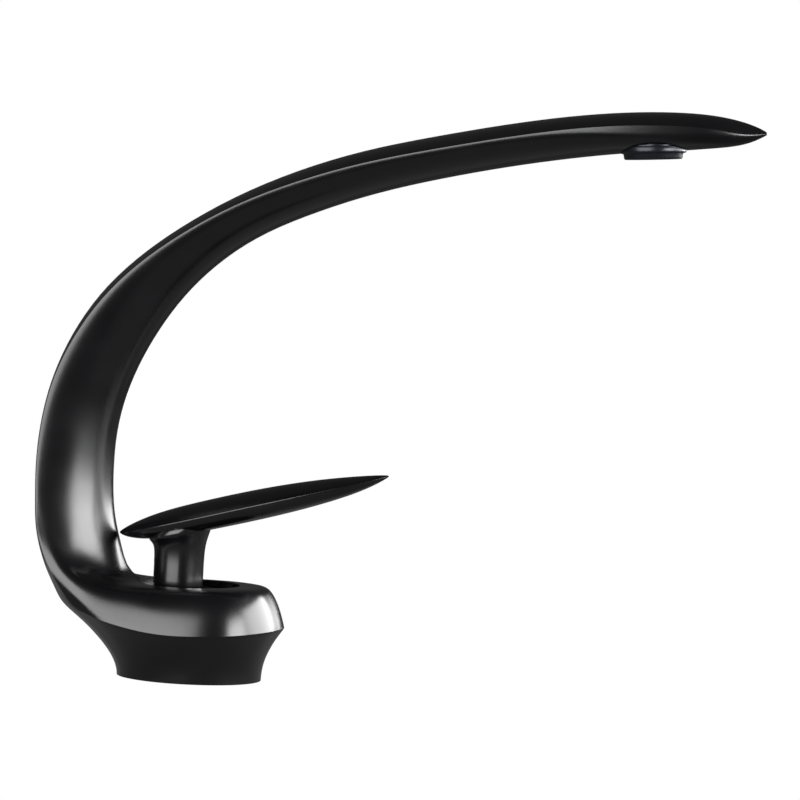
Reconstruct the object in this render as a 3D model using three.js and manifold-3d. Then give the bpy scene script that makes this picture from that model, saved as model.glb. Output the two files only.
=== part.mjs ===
// Single-lever basin mixer with a crescent spout that rises behind its base.
// Millimetres. +Z is up, +X is the side that the spout and the lever point to,
// and the origin is the centre of the base's underside.
import * as THREE from 'three';
import { mergeVertices } from 'three/addons/utils/BufferGeometryUtils.js';
import Module from 'manifold-3d';

const wasm = await Module();
wasm.setup();

// Driving dimensions.
const gap = 0.3; // between pieces that touch
const foot = { radius: 26.2, bend: 9, rearBend: 8 }; // where the flared skirt meets the deck
const rim = { radius: 34.1, height: 19.5, rearRadius: 47, rearHeight: 25.2 }; // the sharp edge
// The flat top of the base, and the [radius, height] steps of its rounded edge.
const flange = { height: 34, radius: 25.6, shoulder: [28.4, 32.2], roll: [27.4, 33.3] };
const valve = { x: -1.8, floor: 8.5, boreRadius: 12.6, pivot: 21 }; // the cartridge's own axis
const recess = { radius: 18.7, floor: 29 }; // round pocket in the flange
const nutBore = { radius: 15.9, floor: 25.2 };
const leanBack = 12; // degrees that the spindle leans back with the water full on
const inlet = { x: -6.4, y: 7.2, radius: 4.6, depth: 6.3, port: 2.3 }; // hot and cold sockets
const stud = { x: 13.5, radius: 3.4, depth: 7 }; // socket for the fixing stud
const seal = { inner: 19.2, outer: 22, groove: 0.35, depth: 2 }; // gasket under the base
const outlet = { x: 158.8, z: 196.2, tilt: 4.1 }; // the middle of the aerator's mouth
const outletSeat = { radius: 12.2, top: 5, threadRadius: 11.2, threadTop: 9.6 };
const waterway = 3.8; // radius of the cast channel in the spout

// The spout: the crown (outer middle line), the keel (inner middle line), the half
// width, and how far down the thickness the side edge lies.
const spout = [
  { crown: [-33, 12], keel: [-6, 22], half: 20, edge: 0.2 },
  { crown: [-46, 24.4], keel: [-18.4, 32.4], half: 23.2, edge: 0.18 },
  { crown: [-54.7, 40], keel: [-26.4, 45], half: 22.4, edge: 0.14 },
  { crown: [-58.8, 68], keel: [-31.4, 68], half: 21.4, edge: 0.12 },
  { crown: [-56.8, 97], keel: [-30.6, 90], half: 20, edge: 0.12 },
  { crown: [-45.6, 127], keel: [-21, 118], half: 19, edge: 0.15 },
  { crown: [-26.2, 150.8], keel: [-6, 141.1], half: 18.3, edge: 0.18 },
  { crown: [5, 173], keel: [17, 160.3], half: 17.6, edge: 0.24 },
  { crown: [46, 191.4], keel: [52, 176.3], half: 17.1, edge: 0.3 },
  { crown: [100, 204.9], keel: [102, 189.9], half: 16.3, edge: 0.33 },
  { crown: [150, 212.5], keel: [151, 198], half: 14.6, edge: 0.35 },
  { crown: [177, 213], keel: [177, 200.8], half: 10.6, edge: 0.41 },
  { crown: [191, 210.9], keel: [190.6, 203], half: 5.3, edge: 0.54 },
  { crown: [199, 207.9], keel: [198.8, 207.1], half: 0.5, edge: 0.54 },
];
const spoutRings = 42;
const spoutSides = 26;

// The lever's blade, in the same terms, from its tail to its tip.
const blade = [
  { crown: [-27.3, 51.6], keel: [-27.1, 50.9], half: 0.5, edge: 0.5 },
  { crown: [-21, 56], keel: [-20, 49.8], half: 6.6, edge: 0.5 },
  { crown: [-10.5, 60.6], keel: [-9, 50.8], half: 10.6, edge: 0.5 },
  { crown: [10, 66.7], keel: [12, 55.6], half: 13.2, edge: 0.5 },
  { crown: [33, 72.5], keel: [34.8, 62.1], half: 12.2, edge: 0.48 },
  { crown: [54, 76.2], keel: [55.4, 69], half: 7.8, edge: 0.45 },
  { crown: [69.4, 77.6], keel: [69.6, 76.8], half: 0.5, edge: 0.5 },
];
const stem = { x: -5.7, radius: 9.1, bottom: 32.4, neck: 48.6, top: 56 };
const screwHeight = 42;

function finish(colour, roughness, metalness) {
  return new THREE.MeshStandardMaterial({ color: colour, roughness, metalness });
}

const satinBlack = () => finish(0x16171a, 0.36, 0.1);
const brass = () => finish(0xb6904c, 0.35, 1);
const steel = () => finish(0xb9bcc0, 0.3, 1);
const whitePlastic = () => finish(0xe6e4dc, 0.5, 0);
const greyPlastic = () => finish(0x8d9196, 0.5, 0);
const ceramic = () => finish(0xf3f1ea, 0.2, 0);
const rubber = () => finish(0x1c1c1c, 0.85, 0);

// Booleans.
function toSolid(geometry) {
  const bare = geometry.index ? geometry.toNonIndexed() : geometry.clone();
  bare.deleteAttribute('normal');
  bare.deleteAttribute('uv');
  const merged = mergeVertices(bare, 1e-3);
  const position = merged.attributes.position;
  const index = merged.index.array;
  const triangles = [];
  for (let i = 0; i < index.length; i += 3) {
    const [a, b, c] = [index[i], index[i + 1], index[i + 2]];
    if (a !== b && b !== c && c !== a) triangles.push(a, b, c);
  }
  return new wasm.Manifold(new wasm.Mesh({
    numProp: 3,
    vertProperties: Float32Array.from(position.array),
    triVerts: Uint32Array.from(triangles),
  }));
}

function toGeometry(solid) {
  const mesh = solid.getMesh();
  const geometry = new THREE.BufferGeometry();
  geometry.setAttribute('position', new THREE.BufferAttribute(mesh.vertProperties, 3));
  geometry.setIndex(new THREE.BufferAttribute(mesh.triVerts, 1));
  return geometry;
}

function cut(geometry, tools) {
  let solid = toSolid(geometry);
  for (const tool of tools) solid = solid.subtract(toSolid(tool));
  return toGeometry(solid);
}

// Plain shapes.
function lathe(profile, sides) {
  const points = profile.map(([radius, height]) => new THREE.Vector2(radius, height));
  const geometry = new THREE.LatheGeometry(points, sides);
  return geometry.rotateX(Math.PI / 2);
}

function disc(radius, bottom, top, sides) {
  return lathe([[0, bottom], [radius, bottom], [radius, top], [0, top]], sides);
}

function ring(inner, outer, bottom, top, sides) {
  return lathe([[inner, bottom], [outer, bottom], [outer, top], [inner, top], [inner, bottom]], sides);
}

function block(x0, x1, y0, y1, z0, z1) {
  const geometry = new THREE.BoxGeometry(x1 - x0, y1 - y0, z1 - z0);
  return geometry.translate((x0 + x1) / 2, (y0 + y1) / 2, (z0 + z1) / 2);
}

function signedVolume(positions, index) {
  const [a, b, c] = [new THREE.Vector3(), new THREE.Vector3(), new THREE.Vector3()];
  let volume = 0;
  for (let i = 0; i < index.length; i += 3) {
    a.fromArray(positions, index[i] * 3);
    b.fromArray(positions, index[i + 1] * 3);
    c.fromArray(positions, index[i + 2] * 3);
    volume += a.dot(b.cross(c)) / 6;
  }
  return volume;
}

// A closed skin over a row of rings that have the same number of points.
function skin(rings) {
  const count = rings[0].length;
  const positions = rings.flat().flatMap((point) => point.toArray());
  const index = [];
  for (let i = 0; i + 1 < rings.length; i += 1) {
    for (let j = 0; j < count; j += 1) {
      const next = (j + 1) % count;
      const [a, b] = [i * count + j, i * count + next];
      index.push(a, b, a + count, b, b + count, a + count);
    }
  }
  for (const [ringNumber, flip] of [[0, true], [rings.length - 1, false]]) {
    const middle = new THREE.Vector3();
    for (const point of rings[ringNumber]) middle.addScaledVector(point, 1 / count);
    const centre = positions.length / 3;
    positions.push(...middle.toArray());
    for (let j = 0; j < count; j += 1) {
      const [a, b] = [ringNumber * count + j, ringNumber * count + ((j + 1) % count)];
      index.push(...(flip ? [b, a, centre] : [a, b, centre]));
    }
  }
  if (signedVolume(positions, index) < 0) {
    for (let i = 0; i < index.length; i += 3) [index[i], index[i + 1]] = [index[i + 1], index[i]];
  }
  const geometry = new THREE.BufferGeometry();
  geometry.setAttribute('position', new THREE.Float32BufferAttribute(positions, 3));
  geometry.setIndex(index);
  return geometry;
}

// A row of stations as smooth functions of t, from 0 at the first to 1 at the last.
function flow(stations) {
  const line = (key) => new THREE.CatmullRomCurve3(
    stations.map((station) => new THREE.Vector3(station[key][0], 0, station[key][1])),
  );
  const crown = line('crown');
  const keel = line('keel');
  const sizes = new THREE.CatmullRomCurve3(
    stations.map((station) => new THREE.Vector3(station.half, station.edge * 10, 0)),
  );
  return (t) => {
    const size = sizes.getPoint(t);
    return { crown: crown.getPoint(t), keel: keel.getPoint(t), half: size.x, edge: size.y / 10 };
  };
}

// One section of a blade: a shallow arched back between two sharp side edges, and a
// blunt rounded belly. power sets how blunt the belly is.
function bladeSection(station, sides, power) {
  const points = [];
  const depth = new THREE.Vector3().subVectors(station.keel, station.crown);
  for (let j = 0; j < sides; j += 1) {
    const angle = (j / sides) * Math.PI * 2;
    const across = Math.cos(angle);
    const back = station.edge * across * across;
    const belly = station.edge
      + (1 - station.edge) * (1 - Math.abs(across) ** power) ** (1 / power);
    const point = station.crown.clone();
    point.addScaledVector(depth, Math.sin(angle) >= 0 ? back : belly);
    point.y = station.half * across;
    points.push(point);
  }
  return points;
}

function bladeSkin(stations, ringCount, sides, power) {
  const at = flow(stations);
  const rings = [];
  for (let i = 0; i <= ringCount; i += 1) {
    rings.push(bladeSection(at(i / ringCount), sides, power));
  }
  return skin(rings);
}

// The base: a concave flared skirt, a sharp rim that rises and widens towards the
// spout, a steep shoulder, and a flat flange.
function pedestal() {
  const sides = 52;
  const skirtSteps = 7;
  const shoulderSteps = 5;
  const rings = [];
  const rearness = (angle) => {
    const t = THREE.MathUtils.clamp((Math.abs(angle) / Math.PI - 0.42) / 0.42, 0, 1);
    return t * t * (3 - 2 * t);
  };
  const around = (pointAt) => {
    const points = [];
    for (let j = 0; j < sides; j += 1) {
      const angle = (j / sides) * Math.PI * 2 - Math.PI;
      const [radius, height] = pointAt(rearness(angle));
      points.push(new THREE.Vector3(radius * Math.cos(angle), radius * Math.sin(angle), height));
    }
    return points;
  };
  const mix = THREE.MathUtils.lerp;
  for (let i = 0; i <= skirtSteps; i += 1) {
    const t = i / skirtSteps;
    rings.push(around((rear) => {
      const bend = mix(foot.bend, foot.rearBend, rear);
      const edgeRadius = mix(rim.radius, rim.rearRadius, rear);
      const edgeHeight = mix(rim.height, rim.rearHeight, rear);
      return [mix(foot.radius, edgeRadius, t * t), 2 * t * (1 - t) * bend + t * t * edgeHeight];
    }));
  }
  for (let i = 1; i <= shoulderSteps; i += 1) {
    const t = i / shoulderSteps;
    rings.push(around((rear) => {
      const edgeRadius = mix(rim.radius, rim.rearRadius, rear);
      const edgeHeight = mix(rim.height, rim.rearHeight, rear);
      const radius = mix(edgeRadius, flange.shoulder[0], t) + 0.9 * Math.sin(Math.PI * t);
      return [radius, mix(edgeHeight, flange.shoulder[1], t)];
    }));
  }
  rings.push(around(() => flange.roll), around(() => [flange.radius, flange.height]));
  return skin(rings);
}

// The casting: base and spout in one piece, with the valve chamber, the sockets under
// it, the outlet seat and the waterway between them.
function bodyCasting() {
  let solid = toSolid(pedestal()).add(toSolid(bladeSkin(spout, spoutRings, spoutSides, 2.5)));
  const chamber = lathe([
    [0, valve.floor],
    [valve.boreRadius, valve.floor],
    [valve.boreRadius, nutBore.floor],
    [nutBore.radius, nutBore.floor],
    [nutBore.radius, recess.floor],
    [recess.radius, recess.floor],
    [recess.radius, flange.height + 5],
    [0, flange.height + 5],
  ], 40).translate(valve.x, 0, 0);
  const tools = [chamber];
  for (const side of [-1, 1]) {
    const socket = disc(inlet.radius, -1, inlet.depth, 20);
    const port = disc(inlet.port, inlet.depth - 1, valve.floor + 1, 12);
    for (const hole of [socket, port]) tools.push(hole.translate(inlet.x, side * inlet.y, 0));
  }
  tools.push(disc(stud.radius, -1, stud.depth, 16).translate(stud.x, 0, 0));
  tools.push(ring(seal.inner - seal.groove, seal.outer + seal.groove, -1, seal.depth, 40));
  tools.push(aim(lathe([
    [0, -6],
    [outletSeat.radius, -6],
    [outletSeat.radius, outletSeat.top],
    [outletSeat.threadRadius, outletSeat.top],
    [outletSeat.threadRadius, outletSeat.threadTop],
    [0, outletSeat.threadTop],
  ], 36)));
  tools.push(waterChannel());
  for (const tool of tools) solid = solid.subtract(toSolid(tool));
  return toGeometry(solid);
}

// Turns a shape made round the Z axis to stand on the aerator's tilted axis.
function aim(geometry) {
  geometry.rotateY(-THREE.MathUtils.degToRad(outlet.tilt));
  return geometry.translate(outlet.x, 0, outlet.z);
}

function waterChannel() {
  const at = flow(spout);
  const last = 0.82; // the share of the spout's length at the outlet
  const points = [new THREE.Vector3(-11, 0, 15.6), new THREE.Vector3(-24, 0, 18.4)];
  for (let t = 0.13; t < last - 0.02; t += 0.07) {
    const station = at(t);
    points.push(new THREE.Vector3().lerpVectors(station.crown, station.keel, 0.52));
  }
  const end = outlet.z + outletSeat.threadTop;
  points.push(new THREE.Vector3(outlet.x - 8, 0, end - 0.7), new THREE.Vector3(outlet.x + 3, 0, end - 0.2));
  const circle = new THREE.Shape();
  const sides = 8;
  for (let j = 0; j < sides; j += 1) {
    const angle = (j / sides) * Math.PI * 2;
    const [x, y] = [waterway * Math.cos(angle), waterway * Math.sin(angle)];
    if (j === 0) circle.moveTo(x, y);
    else circle.lineTo(x, y);
  }
  circle.closePath();
  const extrudePath = new THREE.CatmullRomCurve3(points);
  return new THREE.ExtrudeGeometry(circle, { steps: 36, bevelEnabled: false, extrudePath });
}

// A shape that leans with the spindle about the valve's pivot.
function lean(geometry) {
  geometry.translate(0, 0, -valve.pivot);
  geometry.rotateY(-THREE.MathUtils.degToRad(leanBack));
  return geometry.translate(valve.x, 0, valve.pivot);
}

const spindle = { half: 2.9, top: 44.5, foot: 16.9, footRadius: 1.5 };

function cartridgeSpindle() {
  const half = spindle.half;
  const square = block(-half, half, -half, half, valve.pivot - 2.2, spindle.top);
  const lower = disc(spindle.footRadius, spindle.foot, valve.pivot - 1, 12);
  const joined = toSolid(lean(square)).add(toSolid(lean(lower)));
  return toGeometry(joined.subtract(toSolid(pinBar(spindlePin.radius + gap, spindlePin.half + 2))));
}

const spindlePin = { radius: 1.1, half: 8.6 };

function pinBar(radius, half) {
  const geometry = new THREE.CylinderGeometry(radius, radius, half * 2, 12);
  return geometry.translate(valve.x, 0, valve.pivot);
}

// The lever: the willow-leaf blade on its round stem, with the spindle's socket.
function leverHandle() {
  const leaf = toSolid(bladeSkin(blade, 24, 22, 2.2));
  const neck = toSolid(lathe([
    [0, stem.bottom],
    [stem.radius - 0.5, stem.bottom],
    [stem.radius, stem.bottom + 0.5],
    [stem.radius, stem.neck - 1],
    [stem.radius + 0.6, stem.neck + 1.4],
    [stem.radius + 1.8, stem.neck + 3.2],
    [stem.radius + 1.8, stem.neck + 4],
    [0, stem.top],
  ], 32).translate(stem.x, 0, 0));
  const wall = spindle.half + gap;
  const socket = lean(block(-wall, wall, -wall, wall, 20, spindle.top + 0.6));
  const screwHole = disc(screw.radius + gap, 0, 14, 16).rotateY(-Math.PI / 2);
  screwHole.translate(screw.inner + 1, 0, screwHeight);
  return toGeometry(leaf.add(neck).subtract(toSolid(socket)).subtract(toSolid(screwHole)));
}

const screw = { radius: 2, inner: -9.6, outer: -12.8, plugOuter: -14.6 };

function screwPiece(from, to, socketRadius) {
  const piece = disc(screw.radius, 0, from - to, 16).rotateY(-Math.PI / 2);
  piece.translate(from, 0, screwHeight);
  if (!socketRadius) return piece;
  const hex = disc(socketRadius, 0, 2, 6).rotateY(-Math.PI / 2);
  return cut(piece, [hex.translate(to + 1.6, 0, screwHeight)]);
}

// The valve's stack, from the chamber floor up: [bottom, top] of each layer.
const layer = {
  seal: [8.8, 9.6],
  base: [9.9, 11.7],
  fixedDisc: [12, 13.8],
  movingDisc: [14.1, 15.9],
  carrier: [16.2, 17.9],
  guide: [18.2, 23.1],
  housing: [12, 25],
  nut: [25.5, 28.7],
  cover: [29.3, 31.8],
};
const discRadius = 10.2;
const slideNow = (valve.pivot - spindle.foot) * Math.tan(THREE.MathUtils.degToRad(leanBack));

function portHoles(radius) {
  return [-1, 1].map((side) => disc(radius, 5, 20, 12).translate(inlet.x, side * inlet.y * 0.8, 0));
}

function cartridgeHousing() {
  const lip = layer.housing[1] - 1.5;
  const shell = lathe([
    [discRadius + gap, layer.housing[0]],
    [valve.boreRadius - gap, layer.housing[0]],
    [valve.boreRadius - gap, layer.housing[1]],
    [8, layer.housing[1]],
    [8, lip],
    [discRadius + gap, lip],
    [discRadius + gap, layer.housing[0]],
  ], 36).translate(valve.x, 0, 0);
  return cut(shell, [block(-16, valve.x - 8, -3.4, 3.4, 14.2, 18.2)]);
}

function spindleGuide() {
  const drum = disc(discRadius - 0.2, ...layer.guide, 36).translate(valve.x, 0, 0);
  const wall = spindle.half + gap;
  const slot = block(valve.x - 4.6, valve.x + 4.6, -wall, wall, 17, 25);
  return cut(drum, [slot, pinBar(spindlePin.radius + gap, discRadius + 2)]);
}

function movingDisc() {
  const plate = disc(8, ...layer.movingDisc, 32).translate(valve.x + slideNow, 0, 0);
  const mixing = block(-9, -2.6, -6, 6, layer.movingDisc[0] - 1, layer.movingDisc[0] + 1);
  return cut(plate, [mixing]);
}

function discCarrier() {
  const plate = disc(8, ...layer.carrier, 32);
  const hole = disc(spindle.footRadius + 0.9, 15, 19, 16);
  return cut(plate, [hole]).translate(valve.x + slideNow, 0, 0);
}

function cartridgeNut() {
  const drum = ring(9, nutBore.radius - gap, ...layer.nut, 36).translate(valve.x, 0, 0);
  const notches = [];
  for (let i = 0; i < 4; i += 1) {
    const notch = block(11, 17, -1.4, 1.4, layer.nut[1] - 1.6, layer.nut[1] + 1);
    notches.push(notch.rotateZ((i + 0.5) * Math.PI / 2).translate(valve.x, 0, 0));
  }
  return cut(drum, notches);
}

function trimCover() {
  const [bottom, top] = layer.cover;
  return lathe([
    [12.8, bottom],
    [recess.radius - gap, bottom],
    [recess.radius - gap, bottom + 0.9],
    [16.6, top - 0.5],
    [14.4, top],
    [12.8, top - 0.2],
    [12.8, bottom],
  ], 40).translate(valve.x, 0, 0);
}

// The aerator, made round its own axis, then stood in the outlet.
function aeratorHousing() {
  return aim(lathe([
    [9, 0],
    [10, 0],
    [10.5, 0.5],
    [10.6, 1.9],
    [11.8, 2.3],
    [11.9, 4.5],
    [10.8, 4.7],
    [10.8, 8],
    [9, 8],
    [9, 0],
  ], 36));
}

function aeratorCore() {
  const plate = new THREE.Shape();
  plate.absarc(0, 0, 8.7, 0, Math.PI * 2);
  const pitch = 2.9;
  for (let row = -2; row <= 2; row += 1) {
    for (let column = -2; column <= 2; column += 1) {
      if (Math.abs(row + column) > 2) continue;
      const [x, y] = [pitch * (column + row / 2), pitch * row * Math.sqrt(3) / 2];
      const cell = new THREE.Path();
      for (let k = 0; k < 6; k += 1) {
        const angle = -k * Math.PI / 3 + Math.PI / 6;
        const [px, py] = [x + 1.4 * Math.cos(angle), y + 1.4 * Math.sin(angle)];
        if (k === 0) cell.moveTo(px, py);
        else cell.lineTo(px, py);
      }
      cell.closePath();
      plate.holes.push(cell);
    }
  }
  const geometry = new THREE.ExtrudeGeometry(plate, { depth: 5.4, bevelEnabled: false, curveSegments: 14 });
  return aim(geometry.translate(0, 0, 0.9));
}

// Assembly.
const faucet = new THREE.Group();

function addPiece(name, geometry, material) {
  const mesh = new THREE.Mesh(geometry, material);
  mesh.name = name;
  faucet.add(mesh);
}

addPiece('body_casting', bodyCasting(), satinBlack());
addPiece('base_gasket', ring(seal.inner, seal.outer, 0, seal.depth - gap, 40), rubber());
for (const [name, side] of [['port_seal_hot', -1], ['port_seal_cold', 1]]) {
  const washer = ring(2.4, 3.4, ...layer.seal, 20);
  addPiece(name, washer.translate(inlet.x, side * inlet.y * 0.8, 0), rubber());
}
const basePlate = disc(valve.boreRadius - gap, ...layer.base, 36).translate(valve.x, 0, 0);
addPiece('cartridge_base', cut(basePlate, portHoles(2.2)), greyPlastic());
const fixedPlate = disc(discRadius, ...layer.fixedDisc, 36).translate(valve.x, 0, 0);
addPiece('fixed_disc', cut(fixedPlate, portHoles(1.8)), ceramic());
addPiece('moving_disc', movingDisc(), ceramic());
addPiece('disc_carrier', discCarrier(), whitePlastic());
addPiece('spindle_guide', spindleGuide(), whitePlastic());
addPiece('spindle_pin', pinBar(spindlePin.radius, spindlePin.half), steel());
addPiece('cartridge_spindle', cartridgeSpindle(), brass());
addPiece('cartridge_housing', cartridgeHousing(), greyPlastic());
addPiece('cartridge_nut', cartridgeNut(), brass());
addPiece('trim_cover', trimCover(), satinBlack());
addPiece('lever_handle', leverHandle(), satinBlack());
addPiece('handle_screw', screwPiece(screw.inner, screw.outer, 1.2), steel());
addPiece('screw_plug', screwPiece(screw.outer - gap, screw.plugOuter, 0), satinBlack());
addPiece('aerator_housing', aeratorHousing(), finish(0x1b1c20, 0.3, 0.6));
addPiece('aerator_core', aeratorCore(), greyPlastic());
addPiece('aerator_screen', aim(disc(8.6, 6.7, 7.2, 28)), steel());
addPiece('aerator_washer', aim(ring(7, 10.6, 8.3, 9.3, 28)), rubber());

export default faucet;
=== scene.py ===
import bmesh
import bpy
import math
from mathutils import Matrix, Vector


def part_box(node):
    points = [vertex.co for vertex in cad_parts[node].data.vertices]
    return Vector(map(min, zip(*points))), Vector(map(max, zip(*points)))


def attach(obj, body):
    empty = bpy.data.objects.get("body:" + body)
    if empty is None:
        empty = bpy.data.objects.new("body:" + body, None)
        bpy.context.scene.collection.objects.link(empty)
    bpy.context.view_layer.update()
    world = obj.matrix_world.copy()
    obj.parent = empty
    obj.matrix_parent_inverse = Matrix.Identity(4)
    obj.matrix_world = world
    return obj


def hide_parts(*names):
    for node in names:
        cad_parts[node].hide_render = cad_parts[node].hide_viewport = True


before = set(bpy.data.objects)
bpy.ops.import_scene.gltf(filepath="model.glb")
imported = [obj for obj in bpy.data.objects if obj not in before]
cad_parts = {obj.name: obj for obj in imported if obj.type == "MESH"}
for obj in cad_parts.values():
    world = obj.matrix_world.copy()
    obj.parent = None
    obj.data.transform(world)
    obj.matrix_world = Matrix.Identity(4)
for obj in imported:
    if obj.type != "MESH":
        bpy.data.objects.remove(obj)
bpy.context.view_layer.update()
print("frame loaded:", len(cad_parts), "nodes")

# lengths in the dictionaries are millimetres, colours are sRGB hex


valveLow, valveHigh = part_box("cartridge_housing")
valveX = (valveLow[0] + valveHigh[0]) * 500  # the middle, from metres to millimetres

# the camera: what it looks at, degrees round from the side, and how wide the frame is there
shot = {
    "aim": (72.2, 0, 105.1),
    "azimuth": 8,
    "height": 180,
    "distance": 1600,
    "frameWidth": 288,
    "roll": 3,
    "filmWidth": 36,
}


def placeCamera():
    data = bpy.data.cameras.new("shotCamera")
    camera = bpy.data.objects.new("shotCamera", data)
    bpy.context.collection.objects.link(camera)
    aim = Vector(shot["aim"])
    turn = math.radians(shot["azimuth"])
    eye = aim + Vector((math.sin(turn), -math.cos(turn), 0)) * shot["distance"]
    eye.z = shot["height"]
    look = (aim - eye).to_track_quat("-Z", "Y")
    roll = Matrix.Rotation(math.radians(shot["roll"]), 3, "Z")
    camera.rotation_euler = (look.to_matrix() @ roll).to_euler()
    camera.location = eye * 0.001
    data.sensor_width = shot["filmWidth"]
    data.lens = shot["filmWidth"] * shot["distance"] / shot["frameWidth"]
    data.clip_start = 0.05
    bpy.context.scene.camera = camera


def hexColour(text):
    parts = [int(text[i:i + 2], 16) / 255 for i in (1, 3, 5)]
    linear = [c / 12.92 if c <= 0.04045 else ((c + 0.055) / 1.055) ** 2.4 for c in parts]
    return (*linear, 1.0)


def addNode(tree, kind, settings=None, links=None):
    node = tree.nodes.new(kind)
    for key, value in (settings or {}).items():
        if hasattr(node, key) and key not in node.inputs:
            setattr(node, key, value)
        else:
            node.inputs[key].default_value = value
    for key, source in (links or {}).items():
        tree.links.new(source, node.inputs[key])
    return node


placeCamera()

# each soft box: degrees round from the camera, distance, the heights of its lower and
# upper edge, width, watts
lights = {
    "left": {"turn": -26, "away": 900, "heights": (-90, 640), "width": 950, "power": 15},
    "right": {"turn": 108, "away": 800, "heights": (90, 500), "width": 900, "power": 14},
    "lowRight": {"turn": 60, "away": 800, "heights": (60, 380), "width": 430, "power": 7},
}

studio = {
    "lightAim": (30, 0, 80),
    "floorHalf": 200,
    "floorMirrored": 0.2,  # how bright the floor is in reflections
    "roomMirrored": 0.07,
}


def softBox(name, spec):
    data = bpy.data.lights.new(name, "AREA")
    data.shape = "RECTANGLE"
    low, high = spec["heights"]
    data.size = spec["width"] * 0.001
    data.size_y = (high - low) * 0.001
    data.energy = spec["power"]
    light = bpy.data.objects.new(name, data)
    bpy.context.collection.objects.link(light)
    turn = math.radians(shot["azimuth"] + spec["turn"])
    at = Vector((math.sin(turn), -math.cos(turn), 0)) * spec["away"]
    at.z = (low + high) / 2
    light.location = at * 0.001
    light.rotation_euler = (Vector(studio["lightAim"]) - at).to_track_quat("-Z", "Y").to_euler()


# full white to the camera, and dimmer for everything that mirrors it
def cameraLevel(tree, dimmed):
    seen = tree.nodes.new("ShaderNodeLightPath")
    level = addNode(tree, "ShaderNodeMapRange", {"To Min": dimmed, "To Max": 1.0},
                    {"Value": seen.outputs["Is Camera Ray"]})
    return level.outputs["Result"]


def stageFloor():
    bm = bmesh.new()
    bmesh.ops.create_grid(bm, x_segments=1, y_segments=1, size=studio["floorHalf"] * 0.001)
    mesh = bpy.data.meshes.new("floor")
    bm.to_mesh(mesh)
    bm.free()
    floor = bpy.data.objects.new("floor", mesh)
    bpy.context.collection.objects.link(floor)
    material = bpy.data.materials.new("matt pale paper")
    material.use_nodes = True
    tree = material.node_tree
    skin = tree.nodes["Principled BSDF"]
    skin.inputs["Base Color"].default_value = hexColour("#000000")
    skin.inputs["Roughness"].default_value = 1.0
    skin.inputs["Specular IOR Level"].default_value = 0.0
    skin.inputs["Emission Color"].default_value = hexColour("#ffffff")
    tree.links.new(cameraLevel(tree, studio["floorMirrored"]), skin.inputs["Emission Strength"])
    mesh.materials.append(material)


def studioWorld():
    world = bpy.data.worlds.new("studio")
    world.use_nodes = True
    tree = world.node_tree
    background = tree.nodes["Background"]
    background.inputs["Color"].default_value = hexColour("#ffffff")
    tree.links.new(cameraLevel(tree, studio["roomMirrored"]), background.inputs["Strength"])
    bpy.context.scene.world = world


for name, spec in lights.items():
    softBox(name, spec)
stageFloor()
studioWorld()
bpy.context.scene.view_settings.view_transform = "Standard"
print("camera and lights placed")


def newMaterial(name):
    material = bpy.data.materials.new(name)
    material.use_nodes = True
    tree = material.node_tree
    skin = tree.nodes["Principled BSDF"]
    place = tree.nodes.new("ShaderNodeTexCoord").outputs["Object"]
    return material, tree, skin, place


def noiseFactor(tree, place, size, detail):
    noise = addNode(tree, "ShaderNodeTexNoise", {"Scale": 1000 / size, "Detail": detail}, {"Vector": place})
    return noise.outputs["Fac"]


# every finish: two near tones, a range of roughness and a faint relief, each from its pattern
def dressSkin(tree, skin, colours, tonePattern, rough, relief, reliefPattern):
    tint = addNode(tree, "ShaderNodeMix", {"data_type": "RGBA"})
    tint.inputs[6].default_value = hexColour(colours[0])
    tint.inputs[7].default_value = hexColour(colours[1])
    tree.links.new(tonePattern, tint.inputs[0])
    spread = addNode(tree, "ShaderNodeMapRange", rough, {"Value": tonePattern})
    bump = addNode(tree, "ShaderNodeBump", relief, {"Height": reliefPattern})
    tree.links.new(tint.outputs[2], skin.inputs["Base Color"])
    tree.links.new(spread.outputs["Result"], skin.inputs["Roughness"])
    tree.links.new(bump.outputs["Normal"], skin.inputs["Normal"])


satinBlack = {
    "colours": ("#050506", "#08080a"),
    "roughness": (0.21, 0.25),
    "orangePeel": 0.9,  # mm between the coat's faint ripples
    "cloud": 14,  # mm across the patches of slightly flatter coat
}


# electrophoretic black coat over polished brass: an even, soft sheen with a
# trace of orange peel, and no grain
def satinBlackCoat():
    material, tree, skin, place = newMaterial("satin black coat on brass")
    cloud = noiseFactor(tree, place, satinBlack["cloud"], 1.0)
    peel = noiseFactor(tree, place, satinBlack["orangePeel"], 1.0)
    low, high = satinBlack["roughness"]
    dressSkin(tree, skin, satinBlack["colours"], cloud,
              {"From Min": 0.3, "From Max": 0.7, "To Min": low, "To Max": high},
              {"Strength": 0.015, "Distance": 0.00002}, peel)
    skin.inputs["IOR"].default_value = 1.5
    return material


# moulded plastic, rubber and lapped ceramic: one fine noise, its grain in mm
def mouldedSkin(name, colours, roughness, grain, relief=0.1, metallic=0.0):
    material, tree, skin, place = newMaterial(name)
    noise = noiseFactor(tree, place, grain, 4.0)
    dressSkin(tree, skin, colours, noise, {"To Min": roughness * 0.85, "To Max": roughness * 1.15},
              {"Strength": relief, "Distance": 0.00003}, noise)
    skin.inputs["Metallic"].default_value = metallic
    return material


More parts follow.
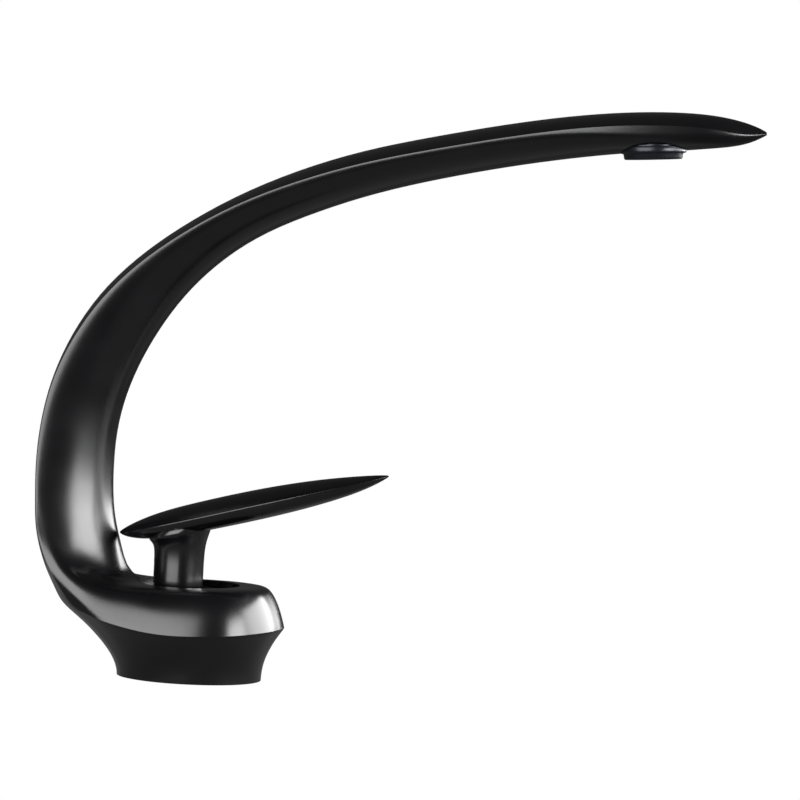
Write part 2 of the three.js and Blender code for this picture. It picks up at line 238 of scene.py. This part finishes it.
# lathe-turned metal: rings round the valve's upright axis, ringPitch mm apart, which
# is coarser than real tool marks so that they show
def turnedMetal(name, colours, roughness, ringPitch):
    material, tree, skin, place = newMaterial(name)
    centred = addNode(tree, "ShaderNodeMapping", {"Location": (-valveX * 0.001, 0, 0)}, {"Vector": place})
    waveRun = 20  # radians that the wave texture runs in a metre at scale 1
    wave = {"wave_type": "RINGS", "rings_direction": "Z", "Distortion": 0.4,
            "Scale": 1000 * math.tau / waveRun / ringPitch}
    rings = addNode(tree, "ShaderNodeTexWave", wave, {"Vector": centred.outputs["Vector"]}).outputs["Fac"]
    dressSkin(tree, skin, colours, rings, {"To Min": roughness * 0.8, "To Max": roughness * 1.2},
              {"Strength": 0.25, "Distance": 0.00002}, rings)
    skin.inputs["Metallic"].default_value = 1.0
    return material


blackCoat = satinBlackCoat()
# black plating on turned brass: a cooler and glassier grey than the coat
platedBlack = mouldedSkin("black plated ring", ("#1a1b20", "#23242a"), 0.28, 3, 0.05, 0.6)
# brass made a dull dark brown, with faint rings
dullDarkBrass = turnedMetal("dull dark brass", ("#4d422b", "#5a4d33"), 0.45, 3.77)
# turned steel bar: pale grey, clear highlights
stainlessSteel = turnedMetal("turned stainless steel", ("#a8abae", "#babdc0"), 0.28, 3.14)
# lapped flat for the water seal: almost white, an even sheen
alumina = mouldedSkin("lapped alumina ceramic", ("#efece4", "#e3e0d8"), 0.22, 1.5, 0.03)
# moulded acetal: milky and waxy
acetal = mouldedSkin("white acetal", ("#dedbd2", "#d2cfc6"), 0.48, 0.8)
# moulded with glass fibre: grey, dull, faintly mottled
filledPlastic = mouldedSkin("grey glass-filled plastic", ("#7f8489", "#8d9297"), 0.52, 0.6)
# moulded rubber: flat black
nitrile = mouldedSkin("black nitrile rubber", ("#141414", "#1d1d1d"), 0.75, 0.5, 0.3)

cadFinishes = {
    "base_gasket": nitrile, "aerator_washer": nitrile,
    "port_seal_hot": nitrile, "port_seal_cold": nitrile,
    "cartridge_base": filledPlastic, "cartridge_housing": filledPlastic,
    "aerator_core": filledPlastic,
    "fixed_disc": alumina, "moving_disc": alumina,
    "disc_carrier": acetal, "spindle_guide": acetal,
    "spindle_pin": stainlessSteel, "handle_screw": stainlessSteel,
    "aerator_screen": stainlessSteel,
    "cartridge_spindle": dullDarkBrass, "cartridge_nut": dullDarkBrass,
    "screw_plug": blackCoat, "body_casting": blackCoat,
    "lever_handle": blackCoat, "trim_cover": blackCoat,
    "aerator_housing": platedBlack,
}
for nodeName, material in cadFinishes.items():
    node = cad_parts[nodeName]
    node.data.materials.clear()
    node.data.materials.append(material)
print("materials made:", len(cadFinishes), "nodes dressed")


# edges that turn by more than sharpAngle degrees stay sharp
def finishPiece(bm, name, material, body, replaced, sharpAngle=32):
    bmesh.ops.recalc_face_normals(bm, faces=bm.faces)
    for face in bm.faces:
        face.smooth = True
    for edge in bm.edges:
        edge.smooth = edge.calc_face_angle(0) < math.radians(sharpAngle)
    mesh = bpy.data.meshes.new(name)
    bm.to_mesh(mesh)
    bm.free()
    piece = bpy.data.objects.new(name, mesh)
    bpy.context.collection.objects.link(piece)
    mesh.materials.append(material)
    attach(piece, body)
    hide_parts(*replaced)
    print("piece", name, len(mesh.polygons), "faces")


def toMetres(bm):
    bmesh.ops.scale(bm, vec=(0.001, 0.001, 0.001), verts=bm.verts)


def looseObject(bm, name):
    mesh = bpy.data.meshes.new(name)
    bm.to_mesh(mesh)
    bm.free()
    thing = bpy.data.objects.new(name, mesh)
    bpy.context.collection.objects.link(thing)
    return thing


# a skin grown ring by ring: the first ring is a circle, each next one is extruded
# from it, and place(row, index) says where a point goes
def growSkin(rowCount, count, place, creaseOf=None):
    bm = bmesh.new()
    index = bm.verts.layers.int.new("ringIndex")
    crease = bm.edges.layers.float.new("crease_edge")
    ring = bmesh.ops.create_circle(bm, segments=count, radius=1, cap_ends=False)["verts"]
    for i, vert in enumerate(ring):
        vert[index] = i
        vert.co = place(0, i)
    edges = list(bm.edges)
    startCap = list(edges)
    for row in range(1, rowCount):
        grown = bmesh.ops.extrude_edge_only(bm, edges=edges)["geom"]
        fresh = [item for item in grown if isinstance(item, bmesh.types.BMVert)]
        freshSet = set(fresh)
        for vert in fresh:
            vert.co = place(row, vert[index])
            for edge in vert.link_edges:
                if edge.other_vert(vert) not in freshSet and creaseOf:
                    edge[crease] = creaseOf(row, vert[index], None)
        edges = [item for item in grown if isinstance(item, bmesh.types.BMEdge)
                 and item.verts[0] in freshSet and item.verts[1] in freshSet]
        if creaseOf:
            for edge in edges:
                ends = sorted(vert[index] for vert in edge.verts)
                edge[crease] = creaseOf(row, ends[0], ends[1])
    bmesh.ops.edgeloop_fill(bm, edges=startCap)
    bmesh.ops.edgeloop_fill(bm, edges=edges)
    if creaseOf:
        for edge in startCap:
            edge[crease] = 1.0
    bmesh.ops.recalc_face_normals(bm, faces=bm.faces)
    return bm


# a smooth curve through the points, at share 0 to 1 of their count
def threadThrough(points, share):
    reach = share * (len(points) - 1)
    i = min(int(reach), len(points) - 2)
    t = reach - i
    p1, p2 = points[i], points[i + 1]
    p0 = points[i - 1] if i > 0 else p1 * 2 - p2
    p3 = points[i + 2] if i + 2 < len(points) else p2 * 2 - p1
    return 0.5 * ((2 * p1) + (p2 - p0) * t + (2 * p0 - 5 * p1 + 4 * p2 - p3) * t * t
                  + (3 * p1 - p0 - 3 * p2 + p3) * t ** 3)


# the mesh after a subdivision and the booleans, as a bmesh in metres
def subdivided(thing, levels, cutters=(), joined=()):
    smooth = thing.modifiers.new("fine", "SUBSURF")
    smooth.levels = levels
    smooth.render_levels = levels
    for operation, others in (("UNION", joined), ("DIFFERENCE", cutters)):
        for other in others:
            boolean = thing.modifiers.new(other.name, "BOOLEAN")
            boolean.operation = operation
            boolean.solver = "EXACT"
            boolean.object = other
    graph = bpy.context.evaluated_depsgraph_get()
    mesh = bpy.data.meshes.new_from_object(thing.evaluated_get(graph))
    bm = bmesh.new()
    bm.from_mesh(mesh)
    bpy.data.meshes.remove(mesh)
    for other in (*cutters, *joined, thing):
        bpy.data.objects.remove(other)
    return bm


# a closed profile of (radius, height) turned round the Z axis, then placed
def spunRing(profile, steps, place=None):
    bm = bmesh.new()
    verts = [bm.verts.new((radius, 0, height)) for radius, height in profile]
    edges = [bm.edges.new((a, b)) for a, b in zip(verts, verts[1:] + verts[:1])]
    if profile[0][0] == 0:
        bm.edges.remove(edges.pop())  # the profile is open along the axis
    bmesh.ops.spin(bm, geom=verts + edges, cent=(0, 0, 0), axis=(0, 0, 1), angle=math.tau,
                   steps=steps, use_merge=True)
    bmesh.ops.remove_doubles(bm, verts=bm.verts, dist=1e-4)
    bmesh.ops.recalc_face_normals(bm, faces=bm.faces)
    if place:
        bmesh.ops.transform(bm, matrix=place, verts=bm.verts)
    return bm


casting = {
    "fineness": 2,
    "footRadius": 26.4,
    "footNeck": (25.7, 8.5),  # radius and height that the flare is drawn towards
    "skirtSteps": (0, 0.1, 0.28, 0.48, 0.68, 0.85),
    "frontCount": 28,  # points from one side edge round the front to the other
    "backCount": 8,
    "rimCrease": 0.72,
    "sideCrease": 0.96,
    "belly": (1.32, 2.1),  # how blunt the inner side is, at the base and at the tip
    "keelRound": 1.8,
    "outletBelly": 1.6,  # how much blunter it is over the outlet
    "outletReach": 22,  # and how far along the spout that fades
    # each row of the base: points from the side edge to the middle of the front,
    # then the middle of the back
    "baseRows": [
        [(-38.6, -25.6, 25), (-25, -31.6, 21), (-5, -34.2, 18), (17, -29.8, 18.4),
         (30, -16.4, 19.4), (34.3, 0, 19.8), (-47.4, 0, 25.2)],
        [(-42, -25, 29.2), (-28.8, -29.6, 25.4), (-6, -32, 24.8), (16, -27.8, 25.8),
         (28, -15.4, 26.6), (32, 0, 26.9), (-50.2, 0, 30)],
        [(-45.4, -24.6, 33.6), (-33, -27.4, 29.6), (-10, -29.3, 30.3), (13.5, -25.4, 31.7),
         (25, -13.9, 32.2), (29, 0, 32.3), (-52.4, 0, 34.4)],
        [(-48.4, -24.2, 38.4), (-37.5, -25.6, 33.4), (-20, -25.6, 32.6), (4, -23.8, 33.7),
         (20, -14.2, 34), (25.8, 0, 34), (-54.4, 0, 39)],
        [(-51, -23.7, 43.6), (-43, -23.6, 38.8), (-31, -22.2, 34.2), (-11, -19.6, 33.8),
         (9.5, -12, 34), (18.2, 0, 34), (-56, 0, 44)],
        [(-53, -23.2, 49), (-46.4, -22.3, 44.6), (-37, -19.6, 38.4), (-25, -14.6, 34.8),
         (-9, -8, 34), (3, 0, 34), (-57.3, 0, 49.4)],
        [(-54.4, -22.6, 55), (-48.6, -21.4, 51), (-40, -18.3, 45), (-31.3, -13.3, 38.8),
         (-24.1, -7, 35.2), (-20.4, 0, 34.2), (-58.1, 0, 55.4)],
    ],
    # the spout: crown and keel in the middle plane, half width, and the side edge's
    # share of the depth
    "spoutRows": [
        ((-58.6, 62.6), (-26.8, 45.5), 22.1, 0.12),
        ((-58.9, 72.4), (-30.6, 58), 21.4, 0.12),
        ((-58.6, 83.2), (-31.6, 73), 20.7, 0.12),
        ((-57.1, 95.2), (-31, 87.6), 20.2, 0.12),
        ((-53.9, 108.2), (-28, 101.6), 19.7, 0.12),
        ((-48.1, 122.6), (-22.7, 115.2), 19.2, 0.14),
        ((-38.7, 137.6), (-15.2, 128.7), 18.8, 0.16),
        ((-26.2, 150.8), (-6, 141.1), 18.3, 0.18),
        ((-10.7, 163), (6, 152.7), 17.9, 0.21),
        ((9, 175.2), (20.7, 162.7), 17.6, 0.24),
        ((31, 185.6), (39.4, 171.3), 17.3, 0.28),
        ((55, 194.1), (59.9, 178.9), 17, 0.31),
        ((80, 200.4), (82.9, 185.3), 16.7, 0.33),
        ((105, 205.9), (106.9, 190.8), 16.3, 0.34),
        ((128, 210), (128.9, 194.9), 15.7, 0.335),
        ((148, 212.4), (148.5, 197.8), 14.8, 0.345),
        ((165, 213.3), (165.2, 199.4), 13, 0.365),
        ((178, 213), (178, 200.9), 10.5, 0.41),
        ((187.4, 211.7), (187.2, 202.2), 7.2, 0.52),
        ((193.8, 210), (193.4, 204), 4.1, 0.57),
        ((197.8, 208.3), (197.5, 206.1), 1.5, 0.55),
        ((199, 207.5), (198.9, 206.9), 0.4, 0.5),
    ],
}


def skirtRow(share, rim):
    neckRadius, neckHeight = casting["footNeck"]
    row = []
    for edgePoint in rim:
        turn = math.atan2(edgePoint.y, edgePoint.x)
        outward = Vector((math.cos(turn), math.sin(turn), 0))
        low = outward * casting["footRadius"]
        bend = outward * neckRadius + Vector((0, 0, neckHeight))
        row.append(low * (1 - share) ** 2 + bend * 2 * share * (1 - share) + edgePoint * share * share)
    return row


def baseRow(points):
    front, back = casting["frontCount"], casting["backCount"]
    *frontSpots, crown = [Vector(point) for point in points]
    side = frontSpots[0]
    half = [threadThrough(frontSpots, i / (front // 2)) for i in range(front // 2 + 1)]
    row = half + [Vector((p.x, -p.y, p.z)) for p in reversed(half[:-1])]
    for j in range(1, back):
        across = math.cos(math.pi * j / back)
        spot = crown.lerp(Vector((side.x, 0, side.z)), across * across)
        row.append(Vector((spot.x, -side.y * across, spot.z)))
    return row


def spoutRow(number, crown, keel, halfWidth, edge):
    front, back = casting["frontCount"], casting["backCount"]
    low, high = casting["belly"]
    fromOutlet = (crown[0] - pockets["outletMouth"][0]) / casting["outletReach"]
    belly = low + (high - low) * number / len(casting["spoutRows"])
    belly += casting["outletBelly"] * math.exp(-fromOutlet ** 2)
    crownAt, keelAt = Vector((crown[0], 0, crown[1])), Vector((keel[0], 0, keel[1]))
    row = []
    for i in range(front + 1):
        across = -math.cos(math.pi * i / front)
        depth = (1 - abs(across) ** casting["keelRound"]) ** (1 / belly)
        spot = crownAt.lerp(keelAt, edge + (1 - edge) * depth)
        row.append(Vector((spot.x, halfWidth * across, spot.z)))
    for j in range(1, back):
        across = math.cos(math.pi * j / back)
        spot = crownAt.lerp(keelAt, edge * across * across)
        row.append(Vector((spot.x, halfWidth * across, spot.z)))
    return row


def castingRows():
    base = [baseRow(points) for points in casting["baseRows"]]
    skirt = [skirtRow(share, base[0]) for share in casting["skirtSteps"]]
    spout = [spoutRow(number, *spec) for number, spec in enumerate(casting["spoutRows"])]
    return tightened(skirt + base + spout, len(skirt))


# a subdivided skin shrinks from its control points, so each point is moved out by
# what its neighbours pull it in
def tightened(rows, rimRow):
    front, count = casting["frontCount"], len(rows[0])
    result = [list(row) for row in rows]
    for r in range(1, len(rows) - 1):
        for i in range(count):
            here = rows[r][i]
            pull = Vector()
            if i not in (0, front):
                pull += (rows[r][i - 1] + rows[r][(i + 1) % count] - here * 2) / 6
            if r != rimRow or i > front:
                pull += (rows[r - 1][i] + rows[r + 1][i] - here * 2) / 6
            result[r][i] = here - pull
    return result


def castingCrease(row, first, second):
    front = casting["frontCount"]
    rimRow = len(casting["skirtSteps"])
    if second is None:  # an edge that runs from row to row
        onEdge = first in (0, front) and row > rimRow
        return casting["sideCrease"] if onEdge else 0.0
    if row == rimRow and second <= front and second - first == 1:
        return casting["rimCrease"]
    return 0.0


# what is cut into the casting: the valve chamber, the outlet, the hose and stud
# sockets and the gasket groove
pockets = {
    "recessRadius": 18.7, "recessFloor": 29,
    "nutRadius": 15.9, "nutFloor": 25.2,
    "chamberRadius": 12.6, "chamberFloor": 8.5,
    "hoseSockets": [(-6.4, -7.2), (-6.4, 7.2)], "hoseRadius": 4.6, "hoseDepth": 6.3,
    "studX": 13.5, "studRadius": 3.4, "studDepth": 7,
    "sealInner": 18.85, "sealOuter": 22.35, "sealDepth": 2,
    "outletTilt": 4.1,
    "outletMouth": (158.8, 196.2),
    "seatRadius": 12.2, "seatTop": 5, "threadRadius": 11.2, "threadTop": 9.6,
    "outletStart": -6, "cutBelow": -1, "cutAbove": 45,  # where the cutters begin and end, in air
    "chamberSteps": 96, "ringSteps": 72, "socketSteps": 40,
}


def outletPlace():
    x, z = pockets["outletMouth"]
    return Matrix.Translation((x, 0, z)) @ Matrix.Rotation(-math.radians(pockets["outletTilt"]), 4, "Y")


def pocketCutters():
    p = pockets
    below, above = p["cutBelow"], p["cutAbove"]
    chamber = [(0, p["chamberFloor"]), (p["chamberRadius"], p["chamberFloor"]),
               (p["chamberRadius"], p["nutFloor"]), (p["nutRadius"], p["nutFloor"]),
               (p["nutRadius"], p["recessFloor"]), (p["recessRadius"], p["recessFloor"]),
               (p["recessRadius"], above), (0, above)]
    outlet = [(0, p["outletStart"]), (p["seatRadius"], p["outletStart"]), (p["seatRadius"], p["seatTop"]),
              (p["threadRadius"], p["seatTop"]), (p["threadRadius"], p["threadTop"]), (0, p["threadTop"])]
    groove = [(p["sealInner"], below), (p["sealOuter"], below), (p["sealOuter"], p["sealDepth"]),
              (p["sealInner"], p["sealDepth"])]
    cutters = [spunRing(chamber, p["chamberSteps"], Matrix.Translation((valveX, 0, 0))),
               spunRing(outlet, p["ringSteps"], outletPlace()),
               spunRing(groove, p["ringSteps"])]
    sockets = [(x, y, p["hoseRadius"], p["hoseDepth"]) for x, y in p["hoseSockets"]]
    sockets.append((p["studX"], 0, p["studRadius"], p["studDepth"]))
    for x, y, radius, depth in sockets:
        profile = [(0, below), (radius, below), (radius, depth), (0, depth)]
        cutters.append(spunRing(profile, p["socketSteps"], Matrix.Translation((x, y, 0))))
    things = []
    for number, bm in enumerate(cutters):
        toMetres(bm)
        things.append(looseObject(bm, "cutter%d" % number))
    return things


def makeCasting():
    rows = castingRows()
    bm = growSkin(len(rows), len(rows[0]), lambda row, i: rows[row][i], castingCrease)
    toMetres(bm)
    rough = looseObject(bm, "castingRough")
    bm = subdivided(rough, casting["fineness"], cutters=pocketCutters())
    finishPiece(bm, "basin_mixer_casting", blackCoat, "body", ["body_casting"])


makeCasting()

lever = {
    # the blade: crown and keel in the middle plane, half width, and the side edge's
    # share of the depth
    "tailToTip": [
        ((-28.1, 51.3), (-28, 50.7), 0.4, 0.5),
        ((-26.4, 52.9), (-25.8, 49.6), 3.2, 0.5),
        ((-20, 56.6), (-19, 49), 7.9, 0.5),
        ((-10.5, 60.6), (-9, 50.4), 11.3, 0.5),
        ((3, 64.7), (5, 53.8), 12.8, 0.5),
        ((18, 68.9), (20, 57.8), 13.2, 0.49),
        ((33, 72.5), (34.8, 62.1), 12.1, 0.48),
        ((46, 75), (47.4, 66.3), 9.7, 0.46),
        ((57, 76.6), (58, 70.4), 6.8, 0.45),
        ((65, 77.5), (65.4, 74.2), 3.4, 0.45),
        ((68.8, 77.7), (69, 76.6), 1.0, 0.5),
        ((69.6, 77.6), (69.7, 77.2), 0.3, 0.5),
    ],
    "bladeCount": 24,
    "belly": 2.8,
    "edgeCrease": 0.85,
    "fineness": (3, 2),  # subdivisions of the blade and of the stem
    "stemX": -5.7,
    "stemCount": 32,
    # height, radius and share of the blade's slope of each ring of the stem
    "stemRings": [(32.4, 8.5, 0), (32.7, 8.95, 0), (33.6, 9.1, 0), (39, 9.1, 0), (43, 9.1, 0),
                  (46.5, 9.3, 0.15), (48.6, 9.8, 0.4), (50.4, 10.7, 0.7), (52, 11.7, 0.95),
                  (53.6, 11.6, 1), (56.6, 10, 1)],
    "slope": 15,
    "screwAt": (-10.2, 0, 42),
    "screwRadius": 2.3,
    "screwDepth": 8,
    "screwSteps": 32,
}


def leverRows():
    count = lever["bladeCount"]
    rows = []
    for crown, keel, halfWidth, edge in lever["tailToTip"]:
        crownAt, keelAt = Vector((crown[0], 0, crown[1])), Vector((keel[0], 0, keel[1]))
        row = []
        for i in range(count):
            turn = math.tau * i / count
            across = math.cos(turn)
            if math.sin(turn) >= 0:
                share = edge * across * across
            else:
                depth = (1 - abs(across) ** lever["belly"]) ** (1 / lever["belly"])
                share = edge + (1 - edge) * depth
            spot = crownAt.lerp(keelAt, share)
            row.append(Vector((spot.x, halfWidth * across, spot.z)))
        rows.append(row)
    return rows


def stemPoint(row, i):
    height, radius, share = lever["stemRings"][row]
    turn = math.tau * i / lever["stemCount"]
    spot = Vector((radius * math.cos(turn), radius * math.sin(turn), 0))
    spot = Matrix.Rotation(-math.radians(lever["slope"] * share), 3, "Y") @ spot
    return spot + Vector((lever["stemX"], 0, height))


def makeLever():
    rows = leverRows()
    edges = (0, lever["bladeCount"] // 2)
    blade = growSkin(len(rows), lever["bladeCount"], lambda row, i: rows[row][i],
                     lambda row, a, b: lever["edgeCrease"] if b is None and a in edges else 0.0)
    toMetres(blade)
    bladeThing = looseObject(blade, "bladeRough")
    stem = growSkin(len(lever["stemRings"]), lever["stemCount"], stemPoint)
    toMetres(stem)
    stemThing = looseObject(stem, "stemRough")
    bladeFineness, stemFineness = lever["fineness"]
    fine = stemThing.modifiers.new("fine", "SUBSURF")
    fine.levels = stemFineness
    fine.render_levels = stemFineness
    radius, depth = lever["screwRadius"], lever["screwDepth"]
    backwards = Matrix.Translation(lever["screwAt"]) @ Matrix.Rotation(-math.pi / 2, 4, "Y")
    hole = spunRing([(0, 0), (radius, 0), (radius, depth), (0, depth)], lever["screwSteps"], backwards)
    toMetres(hole)
    bm = subdivided(bladeThing, bladeFineness, cutters=[looseObject(hole, "screwHole")], joined=[stemThing])
    finishPiece(bm, "willow_leaf_lever", blackCoat, "lever", ["lever_handle"], 40)


makeLever()

cover = {
    "steps": 96,
    # radius and height, from the inner foot outwards and back over the domed top
    "profile": [(12.8, 29.3), (18.4, 29.3), (18.4, 30.2), (17.6, 30.8), (16.4, 31.35), (15.2, 31.68),
                (14, 31.8), (13.2, 31.8), (12.9, 31.65), (12.8, 31.3)],
}


def makeCover():
    bm = spunRing(cover["profile"], cover["steps"], Matrix.Translation((valveX, 0, 0)))
    toMetres(bm)
    finishPiece(bm, "stem_trim_cover", blackCoat, "body", ["trim_cover"], 40)


aerator = {
    "steps": 96,
    # radius and height above the mouth, from the inner lip outwards and up to the thread
    "profile": [(9, 0.25), (9.25, 0), (9.95, 0), (10.25, 0.15), (10.45, 0.5), (10.6, 1.75),
                (10.8, 2.05), (11.4, 2.15), (11.75, 2.35), (11.9, 2.7), (11.9, 4.2), (11.7, 4.5),
                (10.8, 4.7), (10.8, 8), (9, 8)],
}


def makeAerator():
    bm = spunRing(aerator["profile"], aerator["steps"], outletPlace())
    toMetres(bm)
    finishPiece(bm, "aerator_ring", platedBlack, "body", ["aerator_housing"], 40)


makeCover()
makeAerator()
